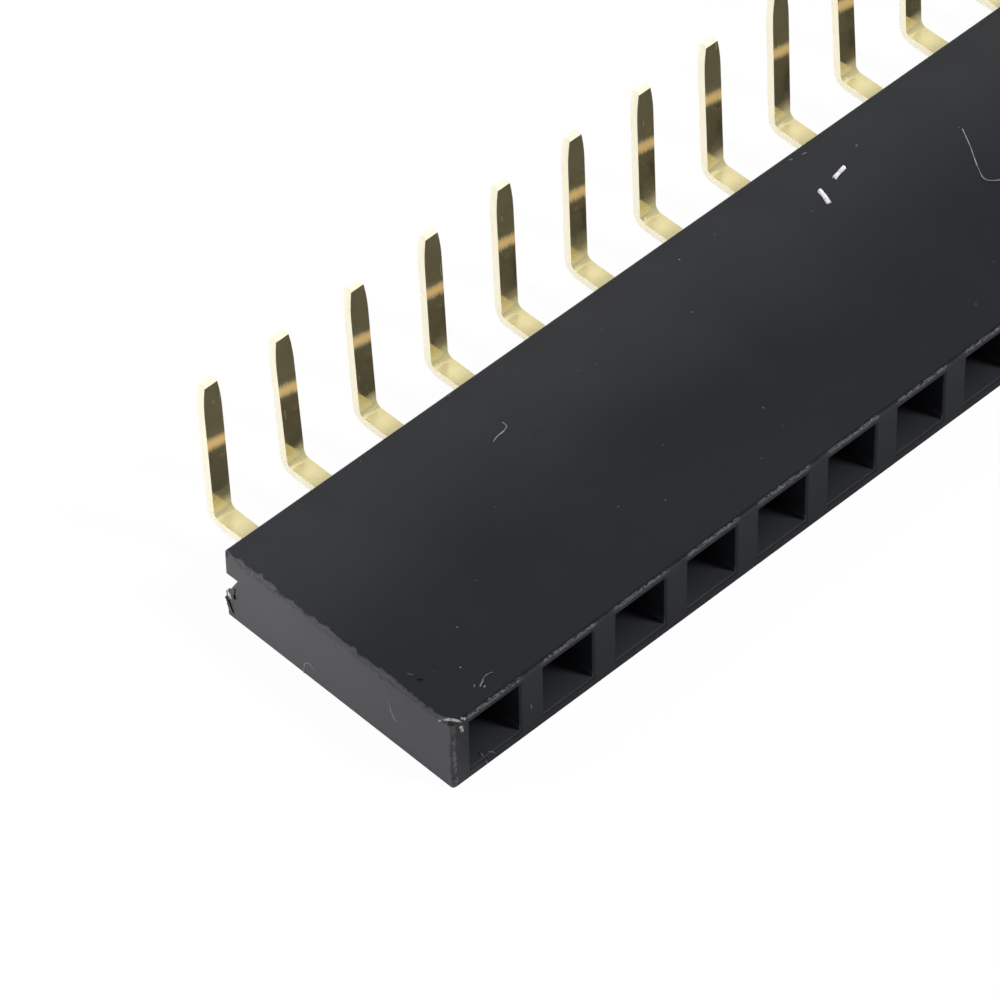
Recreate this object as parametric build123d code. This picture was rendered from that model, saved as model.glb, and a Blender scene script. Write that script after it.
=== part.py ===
"""Single-row female pin header strip with right-angle solder tails.

One moulded housing holds one stamped and folded contact in each of its sockets. Millimetres: X runs along
the row, the sockets open towards -Y, the tails leave towards +Y and turn up towards +Z. The origin is the
middle of the housing's bottom face, on which the strip lies.
"""
import os
from math import cos, radians, sin, sqrt, tan

from build123d import *

# Row of positions
POSITIONS = 20
PITCH = 2.54

# Moulded housing
HOUSING_DEPTH = 8.3
HOUSING_HEIGHT = 2.4
FLOOR_WALL = 0.34
ROOF_WALL = 0.34
DIVIDER_WALL = 0.82
END_WALL = 0.62
LEAD_IN = 0.06
EDGE_BREAK = 0.06
REAR_CORNER_RADIUS = 0.1

# Chip broken out of the rear corner at the first end
CHIP_DEPTH = 0.3
CHIP_MOUTH = 0.5
CHIP_LEVEL = 1.18
CHIP_TIP_RISE = 0.04
CHIP_SLANT = 47

# Stamped contact
SHEET = 0.25
MATING_PIN = 0.64
GRIP = 0.2
CONTACT_RISE = 0.08
FIT_GAP = 0.01

# Plate pressed into a slot in both side walls of its socket
SLOT_DEPTH = 0.3
PLATE_LENGTH = 1.6
PLATE_RECESS = 0.02
BARB_REACH = 0.06
BARB_LENGTH = 0.4

# Folded root and spring leaves
ROOT_LENGTH = 1.2
FOLD_RADIUS = 0.25
SIDE_CLEARANCE = 0.1
LEAF_CLEARANCE = 0.3
LEAF_SETBACK = 2.0
LEAF_STRAIGHT = 0.15
LEAF_BEND_RADIUS = 0.5
LEAF_TIP_CUT = 0.2
FLARE_RISE = 0.25
flare_length_share = 0.28

# Solder tail
TAIL_WIDTH = 0.6
TAIL_REACH = 1.8
TAIL_TOP = 5.88
TAIL_TOP_SPREAD = 0.13
TAIL_LEAN = 2.5
TAIL_LEAN_SPREAD = 1.6
BEND_RADIUS = 0.2
TIP_WIDTH = 0.4
TIP_LENGTH = 1.0
TIP_BEVEL = 0.09

# How far each tail is bent and how high it ends, repeated along the row
tail_lean_shares = (-0.1, 1.0, 0.5, -0.1, -0.3, -0.6, -0.4, 0.1)
tail_top_shares = (0.9, -1.0, -0.8, 0.2, 0.4, 0.7, 0.2, -0.2)

# How far every cutter runs past what it cuts
OVERRUN = 1.0

# Housing, worked out
socket_width = PITCH - DIVIDER_WALL
socket_height = HOUSING_HEIGHT - FLOOR_WALL - ROOF_WALL
socket_level = FLOOR_WALL + socket_height / 2
row_length = (POSITIONS - 1) * PITCH
housing_length = row_length + socket_width + 2 * END_WALL
front_y = -HOUSING_DEPTH / 2
back_y = HOUSING_DEPTH / 2
position_places = [index * PITCH - row_length / 2 for index in range(POSITIONS)]

# Contact, worked out
contact_level = socket_level + CONTACT_RISE
plate_back = back_y - PLATE_RECESS
plate_front = plate_back - PLATE_LENGTH
slot_half = socket_width / 2 + SLOT_DEPTH
plate_half = slot_half - FIT_GAP - BARB_REACH
root_front = plate_front - ROOT_LENGTH
root_half = socket_width / 2 - SIDE_CLEARANCE - SHEET / 2
leaf_height = socket_height - 2 * LEAF_CLEARANCE
leaf_top = contact_level + leaf_height / 2
leaf_tip = front_y + LEAF_SETBACK
leaf_length = root_front - leaf_tip
throat_half = (MATING_PIN - GRIP + SHEET) / 2
tail_corner = back_y + TAIL_REACH


def socket_cutter():
    """One socket: a straight hole through the housing, flared in front, with a slot for the plate behind."""
    entry = Plane((0, front_y, socket_level), x_dir=(1, 0, 0), z_dir=(0, 1, 0))
    hole = extrude(entry.offset(-OVERRUN) * Rectangle(socket_width, socket_height),
                   amount=HOUSING_DEPTH + 2 * OVERRUN)
    flare_start = Plane((0, front_y + LEAD_IN, socket_level), x_dir=(1, 0, 0), z_dir=(0, -1, 0))
    flare = extrude(flare_start * Rectangle(socket_width, socket_height),
                    amount=LEAD_IN + OVERRUN, taper=-45)
    slot_start = Plane((0, plate_front - FIT_GAP, contact_level), x_dir=(1, 0, 0), z_dir=(0, 1, 0))
    slot = extrude(slot_start * Rectangle(2 * slot_half, SHEET + 2 * FIT_GAP),
                   amount=FIT_GAP + PLATE_LENGTH + PLATE_RECESS + OVERRUN)
    return hole + flare + slot


def chip_cutter():
    """The chip: a wedge that slants down across the rear corner of the first end."""
    inset = REAR_CORNER_RADIUS * (1 - 1 / sqrt(2))
    corner = Plane((inset - housing_length / 2, back_y - inset, CHIP_LEVEL),
                   x_dir=(-1, 1, 0), z_dir=(1, 1, -sqrt(2) * tan(radians(CHIP_SLANT))))
    half = CHIP_MOUTH / 2
    wedge = Polyline((-CHIP_DEPTH, CHIP_TIP_RISE), (0, half), (OVERRUN, half), (OVERRUN, -half), (0, -half),
                     close=True)
    return extrude(corner * make_face(wedge), amount=OVERRUN, both=True)


def housing():
    """The moulded block with its broken edges, a socket for each contact and one chipped corner."""
    block = Pos(0, 0, HOUSING_HEIGHT / 2) * Box(housing_length, HOUSING_DEPTH, HOUSING_HEIGHT)
    uprights = block.edges().filter_by(Axis.Z).group_by(Axis.Y)
    block = fillet(uprights[-1], REAR_CORNER_RADIUS)
    faces = block.faces().sort_by(Axis.Z)
    front_uprights = block.edges().filter_by(Axis.Z).group_by(Axis.Y)[0]
    block = chamfer(faces[0].edges() + faces[-1].edges() + front_uprights, EDGE_BREAK)
    socket = socket_cutter()
    return block - [Pos(x, 0, 0) * socket for x in position_places] - chip_cutter()


def folded_strip(path, width, across):
    """Sheet metal bent along a path, with the strip's width along the direction across."""
    start = Plane(path @ 0, x_dir=across, z_dir=path % 0)
    return sweep(start * Rectangle(width, SHEET), path=path)


def press_plate():
    """The flat plate at the back of the socket, with a barb on each side that bites into its slot."""
    barb_front = plate_front + (PLATE_LENGTH - BARB_LENGTH) / 2
    barb_back = barb_front + BARB_LENGTH
    barb_half = plate_half + BARB_REACH
    right = [(plate_half, plate_front), (plate_half, barb_front), (barb_half, barb_back),
             (plate_half, barb_back), (plate_half, plate_back)]
    left = [(-x, y) for x, y in reversed(right)]
    outline = make_face(Polyline(*right, *left, close=True))
    return extrude(Pos(0, 0, contact_level - SHEET / 2) * outline, amount=SHEET)


def spring_root():
    """The root in front of the plate, its two sides folded up into flanges, with round outer folds."""
    outer = root_half + SHEET / 2
    inner = root_half - SHEET / 2
    under = contact_level - SHEET / 2
    right = [(outer, under), (outer, leaf_top), (inner, leaf_top), (inner, under + SHEET)]
    left = [(-x, z) for x, z in reversed(right)]
    section = make_face(Polyline(*right, *left, close=True))
    across = Plane((0, plate_front, 0), x_dir=(1, 0, 0), z_dir=(0, -1, 0))
    root = extrude(across * section, amount=ROOT_LENGTH)
    return fillet(root.edges().filter_by(Axis.Y).group_by(Axis.Z)[0], FOLD_RADIUS)


def spring_leaf(side):
    """One leaf: straight out of its flange, in to the throat that grips the pin, and flared at its tip."""
    throat = leaf_tip + flare_length_share * leaf_length
    path = FilletPolyline((side * root_half, root_front, contact_level),
                          (side * root_half, root_front - LEAF_STRAIGHT, contact_level),
                          (side * throat_half, throat, contact_level),
                          (side * (throat_half + FLARE_RISE), leaf_tip, contact_level),
                          radius=LEAF_BEND_RADIUS)
    leaf = folded_strip(path, leaf_height, (0, 0, 1))
    tip_edges = leaf.faces().sort_by(Axis.Y)[0].edges().group_by(Axis.Z)
    return chamfer(tip_edges[0] + tip_edges[-1], LEAF_TIP_CUT)


def tail_tip(base, lean):
    """The end of the tail: sides that curve in to a narrow tip, bevelled front and back."""
    upright = Plane(base, x_dir=(1, 0, 0), z_dir=(0, -cos(radians(lean)), sin(radians(lean))))
    right = TangentArc((TAIL_WIDTH / 2, 0), (TIP_WIDTH / 2, TIP_LENGTH), tangent=(0, 1))
    left = TangentArc((-TAIL_WIDTH / 2, 0), (-TIP_WIDTH / 2, TIP_LENGTH), tangent=(0, 1))
    outline = make_face([Line(left @ 0, right @ 0), right, Line(right @ 1, left @ 1), left])
    tip = extrude(upright * outline, amount=SHEET / 2, both=True)
    end_edges = tip.faces().sort_by(Axis.Z)[-1].edges().filter_by(Axis.X)
    return chamfer(end_edges, TIP_BEVEL)


def solder_tail(lean, top):
    """The tail: a run out of the housing, a bend, and an upright that leans back a little."""
    rise = top - contact_level - TIP_LENGTH * cos(radians(lean))
    corner = Vector(0, tail_corner, contact_level)
    path = FilletPolyline((0, plate_back, contact_level), corner,
                          corner + Vector(0, rise * tan(radians(lean)), rise),
                          radius=BEND_RADIUS + SHEET / 2)
    return folded_strip(path, TAIL_WIDTH, (1, 0, 0)) + tail_tip(path @ 1, lean)


def contacts():
    """Every contact of the row, from the first position to the last."""
    spring = press_plate() + spring_root() + spring_leaf(1) + spring_leaf(-1)
    bent = [spring + solder_tail(TAIL_LEAN + TAIL_LEAN_SPREAD * lean_share,
                                 TAIL_TOP + TAIL_TOP_SPREAD * top_share)
            for lean_share, top_share in zip(tail_lean_shares, tail_top_shares)]
    return [Pos(x, 0, 0) * bent[index % len(bent)] for index, x in enumerate(position_places)]


os.makedirs("parts", exist_ok=True)
export_step(housing(), "parts/housing.step")
for number, contact in enumerate(contacts(), start=1):
    export_step(contact, f"parts/contact_{number:02d}.step")
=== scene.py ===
# %% [markdown]
# # A female pin header strip
# A black moulded housing with a row of square sockets, and a gold-plated contact in each of them. The strip
# lies on a white table with its solder tails pointing up. It was cut to length, so one end is a little
# torn. Nearly everything here is small and seen from close by: one millimetre is almost forty pixels. The
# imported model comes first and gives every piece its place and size, so nothing is fitted by eye.

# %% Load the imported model
from math import radians

import bmesh
import bpy
from mathutils import Matrix, Vector, noise


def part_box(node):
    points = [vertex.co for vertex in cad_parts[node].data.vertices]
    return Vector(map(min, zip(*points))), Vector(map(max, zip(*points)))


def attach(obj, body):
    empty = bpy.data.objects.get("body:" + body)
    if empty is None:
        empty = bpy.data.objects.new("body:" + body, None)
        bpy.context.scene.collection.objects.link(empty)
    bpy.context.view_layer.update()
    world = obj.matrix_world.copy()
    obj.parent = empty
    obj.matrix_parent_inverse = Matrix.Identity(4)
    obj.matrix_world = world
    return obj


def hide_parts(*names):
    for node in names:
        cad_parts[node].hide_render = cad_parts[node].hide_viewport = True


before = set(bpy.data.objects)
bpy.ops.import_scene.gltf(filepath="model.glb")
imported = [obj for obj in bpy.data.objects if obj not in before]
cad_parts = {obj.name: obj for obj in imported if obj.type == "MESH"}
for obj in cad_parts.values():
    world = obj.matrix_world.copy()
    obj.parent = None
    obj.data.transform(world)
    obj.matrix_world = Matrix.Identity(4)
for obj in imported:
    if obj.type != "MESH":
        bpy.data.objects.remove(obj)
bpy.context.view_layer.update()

scene = bpy.context.scene
scene.view_settings.view_transform = "Standard"
print("pieces in the packed model:", len(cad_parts))

# %% [markdown]
# ## Sizes
# The model is in metres, and the strip is thought of in millimetres, so one name turns one into the other.
# Places on the strip are then said as a maker would say them: so far from the left end, so far from the
# front, so high above the table.

# %% Sizes and places on the strip
MM = 0.001
housing_low, housing_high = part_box("housing")
left_end, front_face, table_level = housing_low
right_end, back_face, top_level = housing_high
housing_length = (right_end - left_end) / MM
contact_names = sorted(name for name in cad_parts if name.startswith("contact_"))


def middle_of(node):
    """Where a contact stands along the row."""
    lowest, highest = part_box(node)
    return (lowest.x + highest.x) / 2


first_socket = middle_of(contact_names[0])
pitch = middle_of(contact_names[1]) - first_socket


def on_strip(from_left, from_front, height):
    """A point on the strip, from distances in millimetres."""
    return Vector((left_end + from_left * MM, front_face + from_front * MM, table_level + height * MM))


print(f"housing {housing_length:.2f} mm long, {len(contact_names)} contacts, pitch {pitch / MM:.2f} mm")

# %% [markdown]
# ## Small helpers for node trees
# Every finish and every ragged edge below is a tree of nodes, and written out, a node takes four or five
# lines. A helper that adds a node and fills or links its inputs keeps a tree readable: one line for each
# node, in the order in which the values flow.

# %% Node helpers
VALUE, VECTOR = "NodeSocketFloat", "NodeSocketVector"


def fill(tree, node, inputs):
    """Gives a node its inputs, by name or number, as values or as other nodes' outputs."""
    for key, value in inputs.items():
        if isinstance(value, bpy.types.NodeSocket):
            tree.links.new(value, node.inputs[key])
        else:
            node.inputs[key].default_value = value


def put(tree, kind, inputs=None, **settings):
    """Adds a node with its settings and inputs."""
    node = tree.nodes.new(kind)
    for name, value in settings.items():
        setattr(node, name, value)
    fill(tree, node, inputs or {})
    return node


def calc(tree, operation, first, second=0.0):
    """One sum on two values."""
    return put(tree, "ShaderNodeMath", {0: first, 1: second}, operation=operation).outputs[0]


def product(tree, first, second):
    """Two values multiplied, or the place where two masks both hold."""
    return calc(tree, "MULTIPLY", first, second)


def vector_calc(tree, operation, first, second):
    """One sum on two vectors."""
    return put(tree, "ShaderNodeVectorMath", {0: first, 1: second}, operation=operation).outputs[0]


def scaled(tree, vector, factor):
    """A vector made longer or shorter."""
    return put(tree, "ShaderNodeVectorMath", {0: vector, "Scale": factor}, operation="SCALE").outputs[0]


def split(tree, vector):
    """The three parts of a vector."""
    return put(tree, "ShaderNodeSeparateXYZ", {0: vector}).outputs


def between(tree, value, start, stop, low=0.0, high=1.0):
    """Rises smoothly from low to high while the value goes from start to stop."""
    inputs = {"Value": value, 1: start, 2: stop, 3: low, 4: high}
    return put(tree, "ShaderNodeMapRange", inputs, interpolation_type="SMOOTHSTEP").outputs[0]


def blended(tree, share, first, second):
    """A colour between two others."""
    inputs = {0: share, 6: first, 7: second}
    return put(tree, "ShaderNodeMix", inputs, data_type="RGBA").outputs[2]


def noise_at(tree, place, size, detail):
    """Soft noise whose spots have about the given size."""
    scale = calc(tree, "DIVIDE", 1.0, size)
    return put(tree, "ShaderNodeTexNoise", {"Vector": place, "Scale": scale, "Detail": detail}).outputs[0]


def new_group(name, inputs, outputs, kind="ShaderNodeTree"):
    """An empty node group with its named sockets, and its input and output nodes."""
    tree = bpy.data.node_groups.new(name, kind)
    for socket, socket_type in inputs.items():
        tree.interface.new_socket(socket, in_out="INPUT", socket_type=socket_type)
    for socket, socket_type in outputs.items():
        tree.interface.new_socket(socket, in_out="OUTPUT", socket_type=socket_type)
    return tree, put(tree, "NodeGroupInput").outputs, put(tree, "NodeGroupOutput").inputs


def rgb(red, green, blue):
    """A colour as a node wants it."""
    return (red, green, blue, 1.0)


print("node helpers ready")

# %% [markdown]
# ## Effects that several finishes share
# Grain and streaks turn up on the plastic and on the gold, specks and worn edges on the plastic. Each is
# made once, as a shader group that puts out a mask or a height, and each finish places it with its own
# sizes. They go in as lengths, because a grain of 0.05 mm means more to a maker than a texture scale.

# %% Shared effects
def grain_group():
    """Fine unevenness: a height for the bump, and broad soft patches for the colour."""
    tree, given, result = new_group(
        "fine grain",
        {"Place": VECTOR, "Grain size": VALUE, "Patch size": VALUE},
        {"Height": VALUE, "Patches": VALUE})
    grain = noise_at(tree, given["Place"], given["Grain size"], 3.0)
    patches = noise_at(tree, given["Place"], given["Patch size"], 4.0)
    tree.links.new(grain, result["Height"])
    tree.links.new(between(tree, patches, 0.3, 0.7), result["Patches"])
    return tree


def streak_group():
    """Thin straight lines: noise drawn out along one direction, of which only the peaks are kept."""
    tree, given, result = new_group(
        "fine streaks",
        {"Place": VECTOR, "Turn": VECTOR, "Line width": VALUE, "Length share": VECTOR, "Kept above": VALUE},
        {"Streak": VALUE, "Lines": VALUE})
    turned = put(tree, "ShaderNodeMapping", {
        "Vector": given["Place"], "Rotation": given["Turn"], "Scale": given["Length share"]})
    lines = noise_at(tree, turned.outputs[0], given["Line width"], 1.0)
    upper = calc(tree, "ADD", given["Kept above"], 0.05)
    tree.links.new(between(tree, lines, given["Kept above"], upper), result["Streak"])
    tree.links.new(lines, result["Lines"])
    return tree


def speck_group():
    """Small round specks, one in some of the cells, each with its own size."""
    tree, given, result = new_group(
        "specks",
        {"Place": VECTOR, "Spacing": VALUE, "Speck share": VALUE, "Filled share": VALUE},
        {"Speck": VALUE})
    scale = calc(tree, "DIVIDE", 1.0, given["Spacing"])
    cells = put(tree, "ShaderNodeTexVoronoi", {"Vector": given["Place"], "Scale": scale})
    chance = put(tree, "ShaderNodeSeparateColor", {0: cells.outputs["Color"]}).outputs
    reach = product(tree, given["Speck share"], chance[1])
    speck = between(tree, cells.outputs["Distance"], reach, product(tree, reach, 0.4))
    filled = calc(tree, "LESS_THAN", chance[0], given["Filled share"])
    tree.links.new(product(tree, speck, filled), result["Speck"])
    return tree


def edge_group():
    """Wear along the edges of a block: how near the second nearest side is, broken up by noise."""
    tree, given, result = new_group(
        "worn edges",
        {"Place": VECTOR, "Low corner": VECTOR, "High corner": VECTOR, "Reach": VALUE, "Patch size": VALUE},
        {"Wear": VALUE})
    above = vector_calc(tree, "SUBTRACT", given["Place"], given["Low corner"])
    below = vector_calc(tree, "SUBTRACT", given["High corner"], given["Place"])
    x, y, z = split(tree, vector_calc(tree, "MINIMUM", above, below))
    smaller = calc(tree, "MINIMUM", x, y)
    larger = calc(tree, "MAXIMUM", x, y)
    second = calc(tree, "MAXIMUM", smaller, calc(tree, "MINIMUM", larger, z))
    near = between(tree, second, given["Reach"], 0.0)
    spots = noise_at(tree, given["Place"], given["Patch size"], 3.0)
    tree.links.new(product(tree, near, between(tree, spots, 0.4, 0.65)), result["Wear"])
    return tree


fine_grain, fine_streaks, specks, worn_edges = grain_group(), streak_group(), speck_group(), edge_group()


def use_group(tree, group, inputs):
    """Places a shared effect in a finish and returns its outputs."""
    return put(tree, "ShaderNodeGroup", inputs, node_tree=group).outputs


def new_finish(name):
    """An empty material: its tree, its shader, and the place on the piece that is being shaded."""
    material = bpy.data.materials.new(name)
    material.use_nodes = True
    tree = material.node_tree
    shader = tree.nodes["Principled BSDF"]
    place = put(tree, "ShaderNodeTexCoord").outputs["Object"]
    return material, tree, shader, place


def dents(tree, height, strength, distance):
    """Lets a height show as fine dents in the surface."""
    inputs = {"Height": height, "Strength": strength, "Distance": distance}
    return put(tree, "ShaderNodeBump", inputs).outputs[0]


print("shared effects:", fine_grain.name, fine_streaks.name, specks.name, worn_edges.name)

# %% [markdown]
# ## Black moulded plastic
# Glass-filled nylon or polyester, as moulded: nearly black, with a soft sheen from a fine grain in the
# mould. What the eye takes for its grey is mostly the white room in that sheen, so the colour itself stays
# very dark. The top is painted paler towards the back, as painted light from behind. The floor of each
# socket is painted paler near its mouth, as painted light that fades inwards. The front faces and the back
# face get tones of their own, as painted light. The cut end is paler still, and painted lighter towards the
# back. The edges are rubbed, and the roof lips over the sockets are torn. Those are masks from the place on
# the piece and the way its faces point, so they stay put in every view, laid over each other like coats of
# paint.

# %% Housing finish
# The top runs from a dark tone, painted shade towards the front, to a pale one, painted light towards the
# back
PLASTIC_DARK_AND_SHADED = rgb(0.0056, 0.0067, 0.0093)
PLASTIC_PALE_AND_LIT = rgb(0.021, 0.022, 0.025)
PLASTIC_LIT_FLOOR = rgb(0.027, 0.0285, 0.0325)
PLASTIC_FRONT_LIT = rgb(0.0097, 0.0106, 0.0127)
PLASTIC_BACK_LIT = rgb(0.028, 0.029, 0.031)
PLASTIC_RUBBED = rgb(0.035, 0.037, 0.04)
PLASTIC_TORN = rgb(0.09, 0.092, 0.095)
CUT_BACK_LIT = rgb(0.068, 0.068, 0.073)
CUT_FRONT_SHADED = rgb(0.038, 0.039, 0.045)
DUST_FILM = rgb(0.09, 0.09, 0.095)
GRAIN_SIZE = 0.05 * MM
GRAIN_HEIGHT = 0.006 * MM
CLOUD_SIZE = 3.2 * MM
CUT_REACH = 0.45 * MM
LIP_HEIGHT = 0.2 * MM
LIP_DEPTH = 0.05 * MM
TEAR_WIDTH = 0.05 * MM
MOUTH_DEPTH = 1.6 * MM
LIT_FLOOR_HEIGHT = 0.7 * MM
RUBBED_REACH = 0.05 * MM
RUBBED_PATCH = 0.3 * MM
SPECK_SPACING = 0.6 * MM
ALONG_ROW = (0.5, 1.0, 1.0)
cloudy_share = 0.25
shaded_top_share = 0.3
speck_share = 0.07
specked_share = 0.3
sheen_share = 0.2
plastic_roughness = (0.515, 0.545)
torn_roughness = 0.2


def cut_mask(tree, x, y):
    """The cut end with its torn border, and the worn rear corner beside it."""
    facing = put(tree, "ShaderNodeNewGeometry").outputs["True Normal"]
    sideways, _, upwards = split(tree, facing)
    at_end = between(tree, x, left_end + CUT_REACH, left_end + CUT_REACH * 0.9)
    end_faces = product(tree, at_end, between(tree, sideways, -0.3, -0.4))
    from_end = calc(tree, "SUBTRACT", x, left_end)
    from_corner = calc(tree, "ADD", from_end, calc(tree, "SUBTRACT", back_face, y))
    at_corner = between(tree, from_corner, CUT_REACH, CUT_REACH / 2)
    corner_faces = product(tree, at_corner, between(tree, upwards, 0.9, 0.8))
    return calc(tree, "MAXIMUM", corner_faces, end_faces)


def torn_mask(tree, place, x, z, lip_front):
    """Pale streaks on the roof lips, strong over each socket and faint at the walls between them."""
    lip = product(tree, lip_front, between(tree, z, top_level - LIP_HEIGHT, top_level - LIP_HEIGHT / 2))
    from_socket = calc(tree, "PINGPONG", calc(tree, "SUBTRACT", x, first_socket), pitch / 2)
    over_socket = between(tree, from_socket, pitch * 0.4, pitch * 0.33, 0.15, 1.0)
    tears = use_group(tree, fine_streaks, {
        "Place": place, "Length share": ALONG_ROW, "Line width": TEAR_WIDTH, "Kept above": 0.46})
    return product(tree, product(tree, lip, over_socket), tears["Streak"])


def lit_floor_mask(tree, y, z):
    """The floor of each socket near its mouth, fading inwards, for painted light."""
    reached = between(tree, y, front_face + MOUTH_DEPTH, front_face)
    inside = between(tree, y, front_face + LIP_DEPTH / 3, front_face + LIP_DEPTH)
    low = between(tree, z, table_level + LIT_FLOOR_HEIGHT, table_level + LIT_FLOOR_HEIGHT / 2)
    return product(tree, product(tree, reached, inside), low)


def moulded_plastic():
    material, tree, shader, place = new_finish("moulded black plastic")
    x, y, z = split(tree, place)
    grain = use_group(tree, fine_grain, {"Place": place, "Grain size": GRAIN_SIZE, "Patch size": CLOUD_SIZE})
    worn = use_group(tree, worn_edges, {
        "Place": place, "Low corner": housing_low, "High corner": housing_high,
        "Reach": RUBBED_REACH, "Patch size": RUBBED_PATCH})
    dust = use_group(tree, specks, {
        "Place": place, "Spacing": SPECK_SPACING, "Speck share": speck_share, "Filled share": specked_share})
    lip_front = between(tree, y, front_face + LIP_DEPTH, front_face)
    torn = torn_mask(tree, place, x, z, lip_front)
    # The cut end is paler plastic, and is painted lighter towards the back, as painted light from behind on
    # the left
    cut_colour_lit_at_back = blended(tree, between(tree, y, front_face, back_face), CUT_FRONT_SHADED, CUT_BACK_LIT)
    clouds = product(tree, calc(tree, "SUBTRACT", grain["Patches"], 0.5), cloudy_share)
    # Painted light: the top is painted paler towards the back, where the light comes from; the clouds are the
    # plastic's own uneven tone
    lit_from = front_face + shaded_top_share * (back_face - front_face)
    shade = calc(tree, "ADD", between(tree, y, lit_from, back_face), clouds)
    colour = blended(tree, shade, PLASTIC_DARK_AND_SHADED, PLASTIC_PALE_AND_LIT)
    coats = (
        # Painted light: the socket floors are painted paler near the mouth, fading into painted shade further
        # in
        (lit_floor_mask(tree, y, z), PLASTIC_LIT_FLOOR),
        # Painted light: the front faces are painted a tone of their own, paler than the top beside them
        (lip_front, PLASTIC_FRONT_LIT),
        # Painted light: the back face is painted paler, for the light from behind
        (between(tree, y, back_face - LIP_DEPTH, back_face), PLASTIC_BACK_LIT),
        (worn["Wear"], PLASTIC_RUBBED),
        (cut_mask(tree, x, y), cut_colour_lit_at_back),
        (torn, PLASTIC_TORN),
        (dust["Speck"], DUST_FILM))
    for mask, coat in coats:
        colour = blended(tree, mask, colour, coat)
    rough = between(tree, grain["Patches"], 0.0, 1.0, *plastic_roughness)
    rough = calc(tree, "ADD", rough, product(tree, torn, torn_roughness))
    fill(tree, shader, {
        "Base Color": colour, "Roughness": rough, "Specular IOR Level": sheen_share,
        "Normal": dents(tree, grain["Height"], 0.35, GRAIN_HEIGHT)})
    return material


black_plastic = moulded_plastic()
print("finish:", black_plastic.name)

# %% [markdown]
# ## Torn plastic, dust and lint
# Where the plastic tore it turned pale, as a bent plastic ruler does, and deep pits beside it look black:
# their black is painted shade.
# Dust and lint are paler still. At their size the eye makes out only a mottled colour and a rough surface,
# so one function makes them all from two colours and the size of the mottling.

# %% Small finishes
def mottled(name, dark, light, patch_size, roughness):
    """A rough finish that varies between two colours."""
    material, tree, shader, place = new_finish(name)
    grain = use_group(tree, fine_grain, {
        "Place": place, "Grain size": patch_size / 3, "Patch size": patch_size})
    fill(tree, shader, {
        "Base Color": blended(tree, grain["Patches"], dark, light), "Roughness": roughness,
        "Specular IOR Level": sheen_share, "Normal": dents(tree, grain["Height"], 0.5, patch_size / 8)})
    return material


# Painted shade: near-black for the pit and crack at the chip, as the shade in those hollows; the same finish
# makes the dark spot on the top
pit_shade_and_dark_spot = mottled("painted pit shade and dark spot", rgb(0.002, 0.002, 0.002), rgb(0.006, 0.006, 0.006), 0.1 * MM, 0.8)
torn_plastic = mottled("torn plastic", rgb(0.015, 0.016, 0.018), rgb(0.12, 0.122, 0.125), 0.12 * MM, 0.6)
pale_burr = mottled("pale torn corner", rgb(0.08, 0.08, 0.075), rgb(0.34, 0.34, 0.31), 0.12 * MM, 0.6)
cut_grey = mottled("cut plastic", rgb(0.03, 0.03, 0.033), rgb(0.085, 0.086, 0.09), 0.15 * MM, 0.6)
shred_grey = mottled("grey shred", rgb(0.05, 0.05, 0.053), rgb(0.14, 0.14, 0.142), 0.7 * MM, 0.9)
dust_grey = mottled("grey dust", rgb(0.06, 0.06, 0.063), rgb(0.26, 0.26, 0.26), 0.7 * MM, 0.9)
lint_white = mottled("pale lint", rgb(0.14, 0.14, 0.142), rgb(0.3, 0.3, 0.3), 0.3 * MM, 0.8)
flake_white = mottled("white flake", rgb(0.5, 0.5, 0.5), rgb(0.85, 0.85, 0.85), 0.2 * MM, 0.8)
print("finishes so far:", ", ".join(finish.name for finish in bpy.data.materials))

# %% [markdown]
# ## Gold plating
# Brass strip, stamped and folded, with a thin bright gold plating. It is a metal, so its colour is the tint
# of what it mirrors: the black housing on the fronts of the tails, and the white room almost everywhere
# else. The sides and tips were sheared and are pale, and their pale colour is a painted reflection of the
# white room. The runs are rubbed dull. The ends of the plates in the housing are painted dark, as painted
# shade, and each tail has a short matte orange band across its front, which is a painted reflection. Dull
# places get a lower metal value, so that they show their own colour instead of a mirror image. Rolling left
# fine lines along the tail, and tools left a few scratches.

# %% Contact finish
GOLD_PALE = rgb(0.85, 0.745, 0.42)
GOLD_DEEP = rgb(0.72, 0.6, 0.29)
GOLD_RUN = rgb(0.78, 0.69, 0.375)
GOLD_SCRATCHED = rgb(0.92, 0.86, 0.66)
# The sheared sides and tips are duller, and painted near-white as a painted reflection of the white room
GOLD_SHEARED_WITH_PAINTED_REFLECTION = rgb(0.95, 0.89, 0.7)
# Painted shade: the back ends of the plates inside the housing are painted near-black
GOLD_SHADED_PLATE_END = rgb(0.06, 0.045, 0.02)
# Painted reflection: an orange band across the front of each tail
REFLECTION_ORANGE = rgb(0.95, 0.63, 0.25)
PLATING_GRAIN = 0.1 * MM
PLATING_PATCH = 0.6 * MM
ROLLED_WIDTH = 0.03 * MM
ROLLED_HEIGHT = 0.003 * MM
SCRATCH_WIDTH = 0.05 * MM
ALONG_TAIL = (1.0, 0.06, 0.06)
SLANTED = (0.0, radians(35), 0.0)
RUN_TOP = 1.42 * MM
BEND_RISE = 0.25 * MM
FOOT_LOW = 1.55 * MM
FOOT_HIGH = 2.0 * MM
TIP_HEIGHT = 5.4 * MM
PLATE_END = 0.2 * MM
REFLECTION_HEIGHT = 3.92 * MM
REFLECTION_HALF = 0.31 * MM
REFLECTION_WAVE = 0.2 * MM
REFLECTION_SLOPE = 0.22
foot_metal_share = 0.935
top_metal_share = 0.905
plating_roughness = (0.07, 0.2)
run_roughness = 0.14
line_roughness = 0.25
dull_shares = {"painted reflection band": 0.6, "tip": 0.8, "run": 0.5, "sheared": 0.4, "lines": 0.15}


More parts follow.
